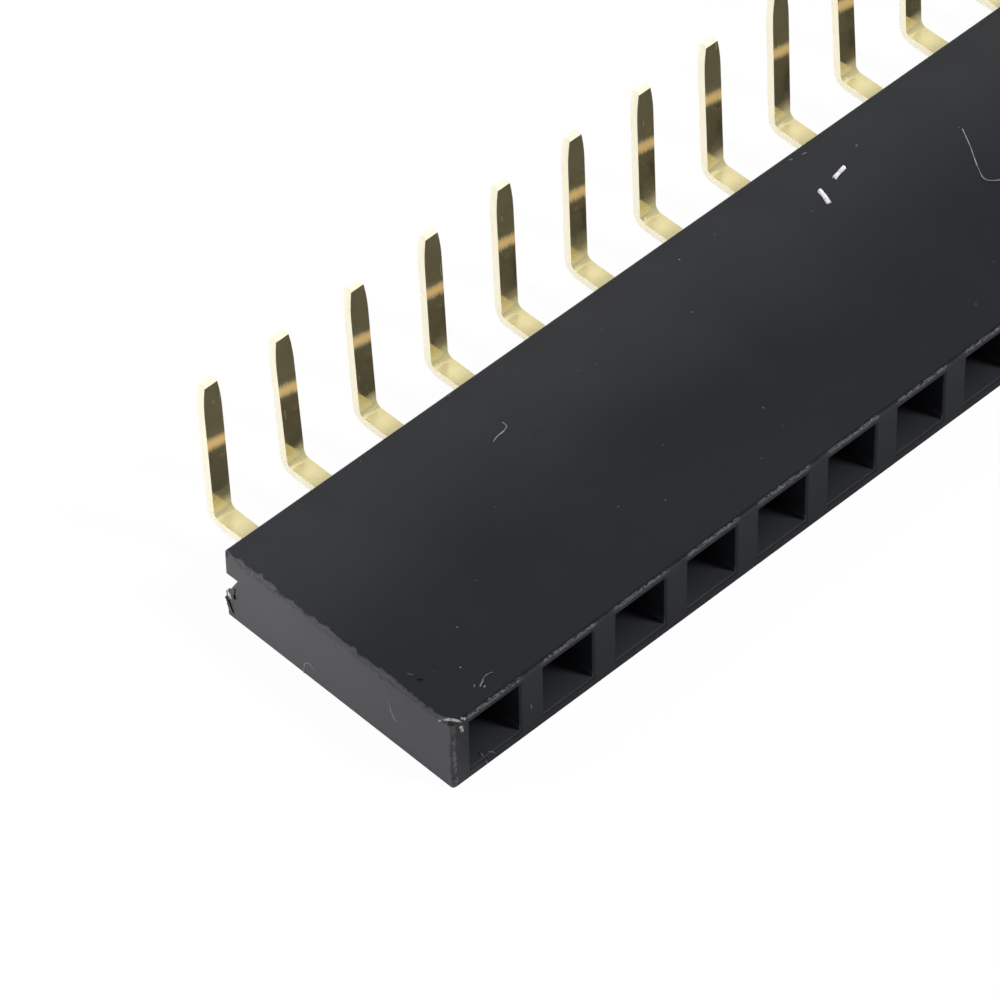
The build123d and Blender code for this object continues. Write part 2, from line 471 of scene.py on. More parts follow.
def reflection_band_mask(tree, along, height, lines, backwards):
    """The painted reflection across the front of each tail: a band, a little slanted, with soft and wavy
    borders.
    """
    wave = product(tree, calc(tree, "SUBTRACT", lines, 0.5), REFLECTION_WAVE)
    from_first = calc(tree, "SUBTRACT", along, first_socket)
    off_middle = put(tree, "ShaderNodeMath", {0: from_first, 1: pitch / 2, 2: -pitch / 2}, operation="WRAP")
    sloped = calc(tree, "ADD", height, product(tree, off_middle.outputs[0], REFLECTION_SLOPE))
    off_mark = calc(tree, "SUBTRACT", calc(tree, "ADD", sloped, wave), table_level + REFLECTION_HEIGHT)
    near = between(tree, calc(tree, "ABSOLUTE", off_mark), REFLECTION_HALF, REFLECTION_HALF / 8)
    return product(tree, near, between(tree, backwards, -0.6, -0.8))


def plate_end_shade_mask(tree, depth, backwards):
    """The back ends of the plates, just inside the housing, which are painted dark as painted shade."""
    at_end = between(tree, depth, back_face - PLATE_END, back_face - PLATE_END / 2)
    plate_end = product(tree, at_end, between(tree, backwards, 0.6, 0.8))
    return product(tree, plate_end, calc(tree, "LESS_THAN", depth, back_face))


def gold_masks(tree, place, rolled, lines):
    """Where the plating differs, by name."""
    along, depth, height = split(tree, place)
    facing = put(tree, "ShaderNodeNewGeometry").outputs["True Normal"]
    sideways, backwards, upwards = split(tree, facing)
    outside = between(tree, depth, back_face - PLATE_END / 4, back_face)
    cut_side = between(tree, calc(tree, "ABSOLUTE", sideways), 0.6, 0.8)
    at_tip = between(tree, height, table_level + TIP_HEIGHT - BEND_RISE, table_level + TIP_HEIGHT)
    low = between(tree, height, table_level + FOOT_HIGH, table_level + FOOT_LOW)
    return height, {
        "run": product(tree, outside, low),
        "sheared": product(tree, outside, cut_side),
        "tip": product(tree, at_tip, between(tree, upwards, 0.4, 0.6)),
        "shaded plate end": plate_end_shade_mask(tree, depth, backwards),
        "painted reflection band": reflection_band_mask(tree, along, height, rolled, backwards),
        "lines": lines}


def gold_plating():
    material, tree, shader, place = new_finish("gold plating")
    grain = use_group(tree, fine_grain, {
        "Place": place, "Grain size": PLATING_GRAIN, "Patch size": PLATING_PATCH})
    rolled = use_group(tree, fine_streaks, {
        "Place": place, "Length share": ALONG_TAIL, "Line width": ROLLED_WIDTH, "Kept above": 0.74})
    scratched = use_group(tree, fine_streaks, {
        "Place": place, "Turn": SLANTED, "Length share": ALONG_TAIL, "Line width": SCRATCH_WIDTH,
        "Kept above": 0.72})
    lines = calc(tree, "MAXIMUM", product(tree, rolled["Streak"], 0.4), scratched["Streak"])
    height, masks = gold_masks(tree, place, rolled["Lines"], lines)
    colour = blended(tree, product(tree, grain["Patches"], 0.7), GOLD_PALE, GOLD_DEEP)
    coats = (
        (product(tree, lines, 0.6), GOLD_SCRATCHED),
        (masks["run"], GOLD_RUN),
        # Sheared sides and tips: their pale colour is a painted reflection
        (calc(tree, "MAXIMUM", masks["sheared"], masks["tip"]), GOLD_SHEARED_WITH_PAINTED_REFLECTION),
        (masks["shaded plate end"], GOLD_SHADED_PLATE_END),
        (masks["painted reflection band"], REFLECTION_ORANGE))
    for mask, coat in coats:
        colour = blended(tree, mask, colour, coat)
    band_low, band_high = table_level + REFLECTION_HEIGHT - REFLECTION_HALF, table_level + REFLECTION_HEIGHT + REFLECTION_HALF
    metal = between(tree, height, band_low, band_high, foot_metal_share, top_metal_share)
    dull = 0.0
    for name, share in dull_shares.items():
        dull = calc(tree, "MAXIMUM", dull, product(tree, masks[name], share))
    metal = product(tree, metal, calc(tree, "SUBTRACT", 1.0, dull))
    run_level = table_level + RUN_TOP
    rubbed = between(tree, height, run_level, run_level + BEND_RISE, run_roughness, 0.0)
    rough = calc(tree, "ADD", rubbed, between(tree, grain["Patches"], 0.0, 1.0, *plating_roughness))
    rough = calc(tree, "ADD", rough, product(tree, lines, line_roughness))
    fill(tree, shader, {
        "Base Color": colour, "Metallic": metal, "Roughness": rough,
        "Normal": dents(tree, rolled["Lines"], 0.05, ROLLED_HEIGHT)})
    return material


gold = gold_plating()
print("finish:", gold.name)

# %% [markdown]
# ## The housing
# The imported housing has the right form, but its edges are sharp lines. Real edges are small rounds that
# catch the light, and the cut end has a jagged border. So a copy of the mesh is merged and its flat faces
# are joined. The border of the cut end is divided into a strip of small faces and nudged by noise. All
# other outer edges are rounded, but for the freshly broken chip. Mesh tools have limits at about a
# micrometre, so the copy is worked on in millimetres and brought back.

# %% Housing
EDGE_ROUND = 0.022
EDGE_SEGMENTS = 2
SHARP_ANGLE = radians(35)
FLAT_ANGLE = radians(0.5)
SMOOTH_ANGLE = radians(50)
MERGE_REACH = 0.0005
FLATS_WEIGHT = 100
BORDER_REACH = 0.08
BORDER_STEP = 0.06
BORDER_LEAST = 0.012
BORDER_MEAN = 0.09
END_BORDER = 0.11
LONG_EDGE = 0.5
CORNER_REACH = 0.44
CORNER_WEAR = 0.34
REAR_ROUND = 0.09
FRONT_WEAR = 0.03
CHIP_REACH = 0.5
front_wave_share = 0.3
top_tear_share = 0.7
wave_sizes = ((0.5, 0.1), (0.22, 0.11), (0.1, 0.09))
border_seeds = {"top": 1.7, "end top": 9.1, "front": 3.1, "end front": 5.3}


def in_millimetres(node):
    """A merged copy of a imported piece, with each flat face in one."""
    shape = bmesh.new()
    shape.from_mesh(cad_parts[node].data)
    bmesh.ops.scale(shape, vec=Vector((1, 1, 1)) / MM, verts=shape.verts)
    bmesh.ops.remove_doubles(shape, verts=shape.verts, dist=MERGE_REACH)
    bmesh.ops.dissolve_limit(shape, angle_limit=FLAT_ANGLE, verts=shape.verts, edges=shape.edges)
    return shape


def round_edges(shape, offset, left_sharp=()):
    """Rounds every outward edge of a shape, but for those that are left sharp."""
    sharp = [edge for edge in shape.edges if edge.is_manifold and edge.is_convex
             and edge.calc_face_angle() > SHARP_ANGLE and edge not in left_sharp]
    bmesh.ops.bevel(shape, geom=sharp, offset=offset, offset_type="OFFSET", segments=EDGE_SEGMENTS,
                    profile=0.5, affect="EDGES", clamp_overlap=True)
    return len(sharp)


def add_object(name, data):
    """A new object at the origin, put in the scene."""
    item = bpy.data.objects.new(name, data)
    scene.collection.objects.link(item)
    return item


def as_piece(shape, name, material):
    """Brings a shape back to metres and makes it an object at the origin, smooth but for its sharp edges."""
    bmesh.ops.scale(shape, vec=Vector((MM, MM, MM)), verts=shape.verts)
    mesh = bpy.data.meshes.new(name)
    shape.to_mesh(mesh)
    shape.free()
    mesh.shade_smooth()
    mesh.set_sharp_from_angle(angle=SMOOTH_ANGLE)
    mesh.materials.append(material)
    return add_object(name, mesh)


def keep_flats(piece):
    """Lets the large faces decide the shading at their rounded edges."""
    modifier = piece.modifiers.new("keep flats", "WEIGHTED_NORMAL")
    modifier.keep_sharp = True
    modifier.weight = FLATS_WEIGHT


def torn_depth(place, line, wave_share=1.0):
    """How deep one line of the torn border is at a place along it."""
    offset = Vector((border_seeds[line], 0, 0))
    wave = sum(size * noise.noise(place / length + offset) for length, size in wave_sizes)
    return max(BORDER_LEAST, BORDER_MEAN + wave_share * wave)


def corner_wear(distance):
    """How much more is worn away near a corner."""
    return CORNER_WEAR * max(0.0, 1 - distance / CORNER_REACH)


def tear_border(shape):
    """Divides the top and front borders of the cut end and makes them jagged. Returns the torn edges."""
    end_x, front_y, back_y, top_z = left_end / MM, front_face / MM, back_face / MM, top_level / MM

    def is_at(place, axis, level):
        return abs(place[axis] - level) < MERGE_REACH

    def lines_through(place):
        near_end = place.x < end_x + BORDER_REACH
        on_end = is_at(place, 0, end_x)
        off_rear = place.y < back_y - REAR_ROUND
        return {"top": near_end and off_rear and is_at(place, 2, top_z),
                "front": near_end and is_at(place, 1, front_y),
                "end top": on_end and off_rear and place.z > top_z - BORDER_REACH,
                "end front": on_end and place.y < front_y + BORDER_REACH}

    border = {}
    for edge in shape.edges:
        first, second = (lines_through(vert.co) for vert in edge.verts)
        if edge.calc_length() > LONG_EDGE and any(first[line] and second[line] for line in first):
            border.setdefault(round(edge.calc_length() / BORDER_STEP), []).append(edge)
    for cuts, edges in border.items():
        bmesh.ops.subdivide_edges(shape, edges=edges, cuts=cuts, use_grid_fill=True)
    moved = [(vert, lines_through(vert.co)) for vert in shape.verts if any(lines_through(vert.co).values())]
    for vert, lines in moved:
        place = vert.co.copy()
        if lines["top"]:
            wear = corner_wear(place.y - front_y)
            vert.co.x = end_x + torn_depth(place, "top") * top_tear_share + wear
        if lines["end top"]:
            from_corner = min(1.0, (place.y - front_y) / CORNER_REACH)
            depth = from_corner * (END_BORDER + torn_depth(place, "end top"))
            vert.co.z = min(place.z, top_z - depth)
        if lines["front"]:
            vert.co.x = end_x + FRONT_WEAR + torn_depth(place, "front", front_wave_share)
        if lines["end front"]:
            vert.co.y = front_y + torn_depth(place, "end front", front_wave_share)
    torn = {vert for vert, lines in moved if lines["top"] or lines["end top"]}
    return {edge for edge in shape.edges if torn.issuperset(edge.verts)}


def chip_edges(shape):
    """The edges of the chip in the rear corner: freshly broken, so they stay sharp."""
    corner = Vector((left_end, back_face, (table_level + top_level) / 2)) / MM
    near = {vert for vert in shape.verts if (vert.co - corner).length < CHIP_REACH}
    return {edge for edge in shape.edges if near.issuperset(edge.verts)}


def flat_corner(piece):
    """Shades the small faces of the rear corner flat, so that the large faces beside it don't darken them."""
    corner = Vector((left_end, back_face, top_level))
    for face in piece.data.polygons:
        if (face.center - corner).length < CORNER_REACH * MM:
            face.use_smooth = False


shape = in_millimetres("housing")
torn_edges = tear_border(shape)
rounded = round_edges(shape, EDGE_ROUND, torn_edges | chip_edges(shape))
housing = as_piece(shape, "moulded_housing", black_plastic)
flat_corner(housing)
keep_flats(housing)
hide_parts("housing")
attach(housing, "root")
print(f"housing: {len(torn_edges)} torn edges, {rounded} edges rounded, {len(housing.data.polygons)} faces")

# %% [markdown]
# ## The contacts
# Each contact is one strip of metal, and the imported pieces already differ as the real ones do: some tails
# lean more, some end higher. Shearing leaves a sheet with one edge rolled over, so their edges are rounded
# as well, by a fiftieth of a millimetre. That thin line of light is what tells metal from painted card.

# %% Contacts
CONTACT_ROUND = 0.02

for name in contact_names:
    shape = in_millimetres(name)
    round_edges(shape, CONTACT_ROUND)
    contact = as_piece(shape, "plated_" + name, gold)
    keep_flats(contact)
    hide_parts(name)
    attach(contact, "root")
print(f"contacts: {len(contact_names)}, each of {len(contact.data.polygons)} faces")

# %% [markdown]
# ## Ragged burrs
# A burr is a thin lip of plastic that was torn rather than cut: it runs along an edge, wanders a little,
# thickens and thins, and stops and starts again. It could be modelled lump by lump, but it follows a path,
# so Geometry Nodes grow it: the path is divided finely, its points wander by noise, and a small ring is
# swept along it with a radius that noise decides. One tree serves every burr, crumb and fibre here.

# %% Burr tree
RING_POINTS = 6
MIDDLE_GREY = (0.5, 0.5, 0.5)
burr_inputs = {
    "Path": "NodeSocketGeometry", "Step": VALUE, "Thickness": VALUE, "Wander": VALUE, "Lump size": VALUE,
    "Thin share": VALUE, "Kept width": VALUE, "Kept pitch": VALUE, "First kept": VALUE, "Seed": VALUE,
    "Finish": "NodeSocketMaterial"}


def seeded_noise(tree, place, seed, scale, detail):
    """Noise in space that changes altogether with its seed."""
    inputs = {"Vector": place, "W": seed, "Scale": scale, "Detail": detail}
    return put(tree, "ShaderNodeTexNoise", inputs, noise_dimensions="4D").outputs


def burr_radius(tree, given, place, scale):
    """How thick the burr is along its path: lumpy, and strong only near the middle of each repeat."""
    seed = calc(tree, "ADD", given["Seed"], 7.0)
    lumps = seeded_noise(tree, place, seed, scale, 3.0)[0]
    size = between(tree, lumps, 0.38, 0.66, given["Thin share"], 1.0)
    along = split(tree, place)[0]
    half_pitch = product(tree, given["Kept pitch"], 0.5)
    off_centre = calc(tree, "PINGPONG", calc(tree, "SUBTRACT", along, given["First kept"]), half_pitch)
    half_kept = product(tree, given["Kept width"], 0.5)
    fade = product(tree, half_kept, 0.88)
    kept = between(tree, off_centre, half_kept, fade, given["Thin share"], 1.0)
    return product(tree, product(tree, size, kept), given["Thickness"])


def put_out(tree, geometry, finish, output):
    """Ends a tree: what it made becomes a plain mesh with its finish."""
    solid = put(tree, "GeometryNodeRealizeInstances", {"Geometry": geometry})
    done = put(tree, "GeometryNodeSetMaterial", {"Geometry": solid.outputs[0], "Material": finish})
    tree.links.new(done.outputs[0], output)


def burr_group():
    outputs = {"Burr": "NodeSocketGeometry"}
    tree, given, result = new_group("ragged burr", burr_inputs, outputs, "GeometryNodeTree")
    fine = put(tree, "GeometryNodeResampleCurve", {
        "Curve": given["Path"], "Length": given["Step"]}, mode="LENGTH")
    place = put(tree, "GeometryNodeInputPosition").outputs[0]
    scale = calc(tree, "DIVIDE", 1.0, given["Lump size"])
    sway = seeded_noise(tree, place, given["Seed"], scale, 2.0)["Color"]
    shift = scaled(tree, vector_calc(tree, "SUBTRACT", sway, MIDDLE_GREY), given["Wander"])
    path = put(tree, "GeometryNodeSetPosition", {"Geometry": fine.outputs[0], "Offset": shift})
    ring = put(tree, "GeometryNodeCurvePrimitiveCircle", {"Resolution": RING_POINTS, "Radius": 1.0})
    swept = put(tree, "GeometryNodeCurveToMesh", {
        "Curve": path.outputs[0], "Profile Curve": ring.outputs[0],
        "Scale": burr_radius(tree, given, place, scale), "Fill Caps": True})
    rough = seeded_noise(tree, place, given["Seed"], product(tree, scale, 3.0), 1.0)["Color"]
    dent_depth = product(tree, given["Wander"], 0.5)
    dents = scaled(tree, vector_calc(tree, "SUBTRACT", rough, MIDDLE_GREY), dent_depth)
    torn = put(tree, "GeometryNodeSetPosition", {"Geometry": swept.outputs[0], "Offset": dents})
    put_out(tree, torn.outputs[0], given["Finish"], result["Burr"])
    return tree


ragged_burr = burr_group()


def path_object(points):
    """A curve through points, smooth where it has three or more."""
    curve = bpy.data.curves.new("path", "CURVE")
    curve.dimensions = "3D"
    spline = curve.splines.new("NURBS")
    spline.points.add(len(points) - 1)
    for point, place in zip(spline.points, points):
        point.co = (*place, 1.0)
    spline.order_u = 3
    spline.use_endpoint_u = True
    return add_object("path", curve)


def grow(source, tree, values):
    """Runs a tree on an object and returns the result as a plain mesh, with the source removed."""
    modifier = source.modifiers.new("grow", "NODES")
    modifier.node_group = tree
    sockets = {item.name: item.identifier for item in tree.interface.items_tree if item.in_out == "INPUT"}
    for key, value in values.items():
        modifier[sockets[key]] = value
    grown = source.evaluated_get(bpy.context.evaluated_depsgraph_get())
    mesh = bpy.data.meshes.new_from_object(grown)
    bpy.data.objects.remove(source)
    return mesh


def join_meshes(meshes, name):
    """Joins plain meshes into one object at the origin, each with the finish that its tree set last."""
    shape = bmesh.new()
    finishes = []
    for mesh in meshes:
        material = mesh.materials[-1]
        if material not in finishes:
            finishes.append(material)
        start = len(shape.faces)
        shape.from_mesh(mesh)
        shape.faces.ensure_lookup_table()
        for face in shape.faces[start:]:
            face.material_index = finishes.index(material)
    joined = bpy.data.meshes.new(name)
    shape.to_mesh(joined)
    shape.free()
    for material in finishes:
        joined.materials.append(material)
    return add_object(name, joined)


def ride_along(piece):
    """A burr or a grain belongs to the housing and moves with it."""
    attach(piece, "root")
    print(f"{piece.name}: {len(piece.data.polygons)} faces")


print("tree:", ragged_burr.name, "with inputs", ", ".join(burr_inputs))

# %% [markdown]
# ## Burrs on the housing
# The longest burr runs along the roof lips: strong over each socket, and hardly there at the walls between
# them. The mask in the tree repeats with the pitch. The cut end has a lumpy burr on its front edge, pale
# torn lumps at the top front corner, and two strands on the floor of the first socket. Crumbs, a pit and a
# crack lie at the chip in the rear corner.

# %% Burrs
BURR_STEP = 0.03
ALL_OVER = 2.0
LIP_INSET = 0.025
LIP_DROP = 0.07
housing_top = (top_level - table_level) / MM
lip_shares = (0.01, 0.5, 0.996)
lip_kept_share = 0.76

# Thickness, wander and lump size in millimetres, and the share of the thickness that thin stretches keep
LIP_BURR = (0.045, 0.12, 0.16, 0.15)
EDGE_BURR = (0.055, 0.12, 0.2, 0.2)
CORNER_STRIP = (0.045, 0.05, 0.14, 0.7)
HIGH_LUMP = (0.06, 0.1, 0.14, 0.5)
LOW_LUMP = (0.07, 0.1, 0.14, 0.5)
STRAND = (0.03, 0.08, 0.14, 0.4)
CURL = (0.02, 0.06, 0.14, 0.4)
LARGE_CRUMB = (0.08, 0.14, 0.13, 0.4)
SMALL_CRUMB = (0.05, 0.1, 0.12, 0.3)
PALE_CRUMB = (0.05, 0.14, 0.1, 0.3)
PIT = (0.05, 0.12, 0.12, 0.2)
CRACK = (0.045, 0.06, 0.14, 0.3)


def burr(points, seed, finish, size, kept_width=ALL_OVER, kept_pitch=ALL_OVER):
    """One burr along a path on the strip."""
    thickness, wander, lump_size, thin_share = size
    source = path_object([on_strip(*point) for point in points])
    return grow(source, ragged_burr, {
        "Step": BURR_STEP * MM, "Thickness": thickness * MM, "Wander": wander * MM,
        "Lump size": lump_size * MM, "Thin share": thin_share, "Kept width": kept_width,
        "Kept pitch": kept_pitch, "First kept": first_socket, "Seed": seed, "Finish": finish})


lip_path = [(share * housing_length, LIP_INSET, housing_top - LIP_DROP) for share in lip_shares]
lip_burr = burr(lip_path, 3.0, torn_plastic, LIP_BURR, pitch * lip_kept_share, pitch)
ride_along(join_meshes([lip_burr], "lip_burr"))

end_burrs = (
    (((0.06, 0.01, 2.0), (0.05, 0.01, 1.3), (0.08, 0.0, 0.7), (0.1, 0.0, 0.15)), 11.0, cut_grey, EDGE_BURR),
    (((0.01, 0.46, 2.24), (0.1, 0.27, 2.36), (0.2, 0.1, 2.41), (0.31, 0.0, 2.32)), 5.0, pale_burr,
     CORNER_STRIP),
    (((0.36, 0.04, 2.4), (0.41, 0.01, 2.38), (0.44, 0.0, 2.34)), 8.0, pale_burr, HIGH_LUMP),
    (((0.29, 0.0, 2.2), (0.31, 0.0, 2.1), (0.33, 0.0, 2.02)), 9.0, pale_burr, LOW_LUMP),
    (((1.1, 0.18, 0.36), (1.1, 0.03, 0.37), (1.14, 0.0, 0.1)), 2.0, torn_plastic, STRAND),
    (((1.28, 0.1, 0.36), (1.4, 0.04, 0.37), (1.44, 0.0, 0.22)), 3.0, torn_plastic, CURL),
)
ride_along(join_meshes([burr(*values) for values in end_burrs], "end_burrs"))

# The pit and the crack are near-black lumps, as painted shade
chip_crumbs = (
    (((0.08, 8.22, 0.95), (0.02, 8.28, 0.8), (0.02, 8.27, 0.62)), 6.0, torn_plastic, LARGE_CRUMB),
    (((0.03, 8.28, 0.7), (0.03, 8.29, 0.45), (0.04, 8.26, 0.25)), 4.0, torn_plastic, SMALL_CRUMB),
    (((0.02, 8.24, 0.98), (0.0, 8.17, 0.86), (0.0, 8.14, 0.76)), 7.0, flake_white, PALE_CRUMB),
    (((0.01, 7.95, 1.2), (0.0, 7.98, 1.05), (0.0, 7.97, 0.88)), 9.0, pit_shade_and_dark_spot, PIT),
    (((0.0, 8.2, 0.62), (0.0, 8.14, 0.45), (0.0, 8.03, 0.22)), 12.0, pit_shade_and_dark_spot, CRACK),
)
ride_along(join_meshes([burr(*values) for values in chip_crumbs], "chip_crumbs"))

# %% [markdown]
# ## Dust
# Nothing shows the scale of so small a thing like the dust on it. The grains lie anywhere, so a second tree
# scatters them over the top and both ends with a fixed seed, and turns each to lie on the face it fell on.

# %% Dust
GRAINS_PER_AREA = 0.3 / MM ** 2
DUSTY_INSET = 0.15
SMALLEST_GRAIN = 0.008 * MM
LARGEST_GRAIN = 0.034 * MM
DUST_SEED = 4
housing_depth = (back_face - front_face) / MM
flattest_shares, fullest_shares = (0.6, 0.5, 0.35), (1.5, 0.9, 0.6)
dust_inputs = {
    "Surface": "NodeSocketGeometry", "Grains per area": VALUE, "Smallest": VALUE, "Largest": VALUE,
    "Seed": "NodeSocketInt", "Finish": "NodeSocketMaterial"}


def dust_group():
    outputs = {"Dust": "NodeSocketGeometry"}
    tree, given, result = new_group("fallen dust", dust_inputs, outputs, "GeometryNodeTree")
    scattered = put(tree, "GeometryNodeDistributePointsOnFaces", {
        "Mesh": given["Surface"], "Density": given["Grains per area"], "Seed": given["Seed"]})
    chance = put(tree, "FunctionNodeRandomValue", {2: 0.0, 3: 1.0, "Seed": given["Seed"]}).outputs[1]
    often_small = calc(tree, "POWER", chance, 4.0)
    range_of_sizes = calc(tree, "SUBTRACT", given["Largest"], given["Smallest"])
    size = put(tree, "ShaderNodeMath", {0: often_small, 1: range_of_sizes, 2: given["Smallest"]},
               operation="MULTIPLY_ADD").outputs[0]
    shape = put(tree, "FunctionNodeRandomValue", {0: flattest_shares, 1: fullest_shares},
                data_type="FLOAT_VECTOR").outputs[0]
    grain = put(tree, "GeometryNodeMeshIcoSphere", {"Radius": 1.0, "Subdivisions": 1})
    placed = put(tree, "GeometryNodeInstanceOnPoints", {
        "Points": scattered.outputs["Points"], "Instance": grain.outputs[0],
        "Rotation": scattered.outputs["Rotation"], "Scale": scaled(tree, shape, size)})
    put_out(tree, placed.outputs[0], given["Finish"], result["Dust"])
    return tree


def dusty_faces():
    """The top and both ends, where dust shows, as three plain rectangles."""
    near, far = DUSTY_INSET, housing_depth - DUSTY_INSET
    low, high = DUSTY_INSET, housing_top - DUSTY_INSET
    start, stop = DUSTY_INSET, housing_length - DUSTY_INSET
    top = [(x, y, housing_top) for x, y in ((start, near), (stop, near), (stop, far), (start, far))]
    first_end = [(0, y, z) for y, z in ((near, low), (near, high), (far, high), (far, low))]
    last_end = [(housing_length, y, z) for y, z in ((near, low), (far, low), (far, high), (near, high))]
    corners = [on_strip(*corner) for corner in top + first_end + last_end]
    mesh = bpy.data.meshes.new("dusty faces")
    mesh.from_pydata(corners, [], [(0, 1, 2, 3), (4, 5, 6, 7), (8, 9, 10, 11)])
    return mesh


fallen_dust = dust_group()
dust = grow(add_object("surface", dusty_faces()), fallen_dust, {
    "Grains per area": GRAINS_PER_AREA, "Smallest": SMALLEST_GRAIN, "Largest": LARGEST_GRAIN,
    "Seed": DUST_SEED, "Finish": dust_grey})
ride_along(join_meshes([dust], "dust_grains"))

# %% [markdown]
# ## Lint, flakes and shreds
# Fibres, two white flakes, shreds of plastic and a dark mark are where the strip really has them, so each
# gets a path of its own. The burr tree grows them all, with other sizes.

# %% Lint, flakes and shreds
HAIR = 0.018
FIBRE = (HAIR, 0.02, 0.3, 0.7)
FLAKE = (0.08, 0.04, 0.5, 0.8)
SHRED = (0.035, 0.05, 0.12, 0.4)
MARK = (0.025, 0.03, 0.12, 0.4)


def on_top(*points, height=housing_top + HAIR / 2):
    """A path of places on the top face."""
    return [(from_left, from_front, height) for from_left, from_front in points]


fibre_paths = (
    on_top((8.05, 6.55), (8.1, 6.4), (7.9, 6.3), (7.6, 6.3), (7.42, 6.22)),
    on_top((24.22, 5.7), (23.9, 5.1), (23.46, 4.45), (23.15, 3.85), (23.55, 3.65)),
    ((0.0, 5.44, 0.05), (0.0, 5.42, 0.3), (0.0, 5.36, 0.5), (0.0, 5.18, 0.62), (0.0, 4.97, 0.48)),
    ((0.0, 2.28, 1.56), (0.0, 2.24, 1.3), (0.0, 2.16, 1.12), (0.0, 2.04, 0.96)),
)
flake_paths = (
    on_top((19.86, 6.74), (19.8, 6.5), (19.7, 6.24), height=housing_top),
    on_top((20.46, 6.8), (20.7, 6.86), (20.95, 6.9), height=housing_top),
)
shred_paths = (
    on_top((1.95, 0.58), (1.78, 0.64), (1.68, 0.6), (1.54, 0.52), (1.38, 0.45)),
    on_top((1.33, 0.58), (1.3, 0.56), (1.28, 0.54)),
    on_top((1.49, 0.38), (1.46, 0.37), (1.43, 0.36)),
    on_top((0.42, 2.02), (0.44, 1.95), (0.48, 1.9)),
    ((0.0, 7.27, 2.3), (0.0, 7.24, 2.31), (0.02, 7.2, 2.32)),
    ((0.0, 6.47, 2.33), (0.01, 6.43, 2.35), (0.03, 6.38, 2.36)),
    ((2.68, 0.0, 1.1), (2.69, 0.0, 1.02), (2.7, 0.0, 0.94)),
    on_top((21.72, 7.2), (21.76, 7.24), (21.8, 7.26)),
    on_top((20.5, 8.0), (20.56, 8.0), (20.64, 7.98)),
    on_top((20.1, 8.12), (20.14, 8.1), (20.2, 8.06)),
)
mark_paths = (
    on_top((0.46, 1.74), (0.49, 1.68), (0.56, 1.62)),
)
kinds_of_lint = (
    (fibre_paths, 1.0, lint_white, FIBRE),
    (flake_paths, 20.0, flake_white, FLAKE),
    (shred_paths, 40.0, shred_grey, SHRED),
    (mark_paths, 60.0, pit_shade_and_dark_spot, MARK),
)
lint = [burr(path, first_seed + index, finish, size)
        for paths, first_seed, finish, size in kinds_of_lint for index, path in enumerate(paths)]
ride_along(join_meshes(lint, "lint_and_flakes"))

# %% [markdown]
# ## Table and room
# A product photo on white: plain white paper in a white room. To the camera and in mirrors the paper glows
# white, but for a little shading, so that the strip keeps a faint shadow. Mirrors see two more things: a
# painted shadow, a grey patch on the paper close round the strip that only mirrors see, which gives the
# plastic and the runs their darker tones, and a dim side of the room at the front right, which keeps the
# fronts of the tails dark.

# %% Table and room
TABLE_HALF = 3.0
PAPER_WHITE = rgb(0.95, 0.95, 0.95)
# Painted shadow: the grey that mirrors see on the paper round the strip
MIRRORED_SHADOW_GREY = rgb(0.48, 0.48, 0.48)
PURE_WHITE = rgb(1.0, 1.0, 1.0)
SHADOW_FRONT = 2.5 * MM
SHADOW_BACK = 0.6 * MM
SHADOW_FADE = 0.2 * MM
SHADOW_END_FADE = 1.5 * MM
ROOM_LIGHT = 0.3
ROOM_BRIGHT = 0.95
ROOM_DIM = 0.15
dim_side = (0.6, -0.8, 0.0)
dim_start, dim_full = 0.05, 0.5
dim_top, dim_end = 0.8, 0.9
glow_share = 0.95


def off_painted_shadow(tree):
    """One on the white paper, nought on the painted shadow under the strip."""
    x, y, _ = split(tree, put(tree, "ShaderNodeTexCoord").outputs["Object"])
    shadow_front, shadow_back = front_face - SHADOW_FRONT, back_face + SHADOW_BACK
    sides = (
        between(tree, x, left_end + SHADOW_END_FADE, left_end),
        between(tree, x, right_end - SHADOW_END_FADE, right_end),
        between(tree, y, shadow_front, shadow_front - SHADOW_FADE),
        between(tree, y, shadow_back, shadow_back + SHADOW_FADE))
    outside = 0.0
    for side in sides:
        outside = calc(tree, "MAXIMUM", outside, side)
    return outside


def in_mirrors(tree):
    """What kind of ray is looking: one for a mirrored view, and the camera's own view."""
    rays = put(tree, "ShaderNodeLightPath").outputs
    return calc(tree, "MAXIMUM", rays["Is Glossy Ray"], rays["Is Transmission Ray"]), rays["Is Camera Ray"]


def white_paper():
    material = bpy.data.materials.new("white paper")
    material.use_nodes = True
    tree = material.node_tree
    tree.nodes.clear()
    mirrored, from_camera = in_mirrors(tree)
    white = off_painted_shadow(tree)
    grey = product(tree, mirrored, calc(tree, "SUBTRACT", 1.0, white))
    paper = put(tree, "ShaderNodeBsdfDiffuse", {"Color": blended(tree, grey, PAPER_WHITE, MIRRORED_SHADOW_GREY)})
    glow = put(tree, "ShaderNodeEmission", {"Color": PURE_WHITE, "Strength": 1.0})
    seen = calc(tree, "MAXIMUM", from_camera, product(tree, mirrored, white))
    share = product(tree, seen, glow_share)
    both = put(tree, "ShaderNodeMixShader", {0: share, 1: paper.outputs[0], 2: glow.outputs[0]})
    put(tree, "ShaderNodeOutputMaterial", {"Surface": both.outputs[0]})
    return material


